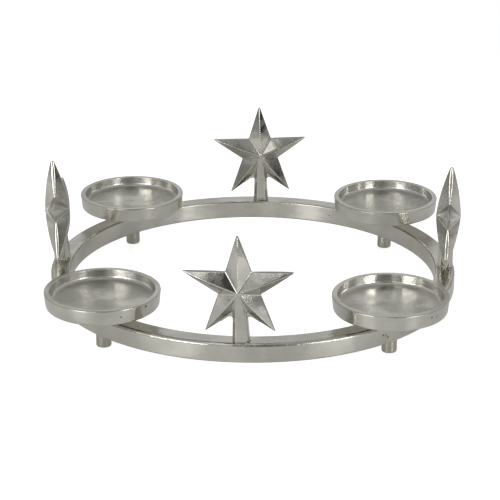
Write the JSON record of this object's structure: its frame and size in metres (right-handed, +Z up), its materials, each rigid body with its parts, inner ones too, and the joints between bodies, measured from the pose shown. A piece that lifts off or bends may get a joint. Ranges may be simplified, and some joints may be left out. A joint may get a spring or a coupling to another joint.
{
  "type": "wreath candle holder",
  "caption": "Round metal table wreath on short feet, with raised round plates for pillar candles and upright five-pointed stars between them.",
  "frame": {"origin": "on the table, under the middle of the wreath's outer box", "axes": "+Z up; -Y towards the front star; +X to the right as seen from the front"},
  "size_m": [0.3734, 0.3734, 0.1235],
  "materials": {
    "nickel_plated_casting": "cast aluminium, nickel plated and satin polished",
    "steel_fastener": "zinc plated steel"
  },
  "bodies": {
    "root": {"ring": "nickel_plated_casting", "plate_front_left": "nickel_plated_casting", "foot_front_left": "nickel_plated_casting", "plate_stud_front_left": "steel_fastener", "plate_front_right": "nickel_plated_casting", "foot_front_right": "nickel_plated_casting", "plate_stud_front_right": "steel_fastener", "plate_back_right": "nickel_plated_casting", "foot_back_right": "nickel_plated_casting", "plate_stud_back_right": "steel_fastener", "plate_back_left": "nickel_plated_casting", "foot_back_left": "nickel_plated_casting", "plate_stud_back_left": "steel_fastener", "star_front": "nickel_plated_casting", "star_screw_front": "steel_fastener", "star_washer_front": "steel_fastener", "star_right": "nickel_plated_casting", "star_screw_right": "steel_fastener", "star_washer_right": "steel_fastener", "star_back": "nickel_plated_casting", "star_screw_back": "steel_fastener", "star_washer_back": "steel_fastener", "star_left": "nickel_plated_casting", "star_screw_left": "steel_fastener", "star_washer_left": "steel_fastener"}
  },
  "joints": []
}
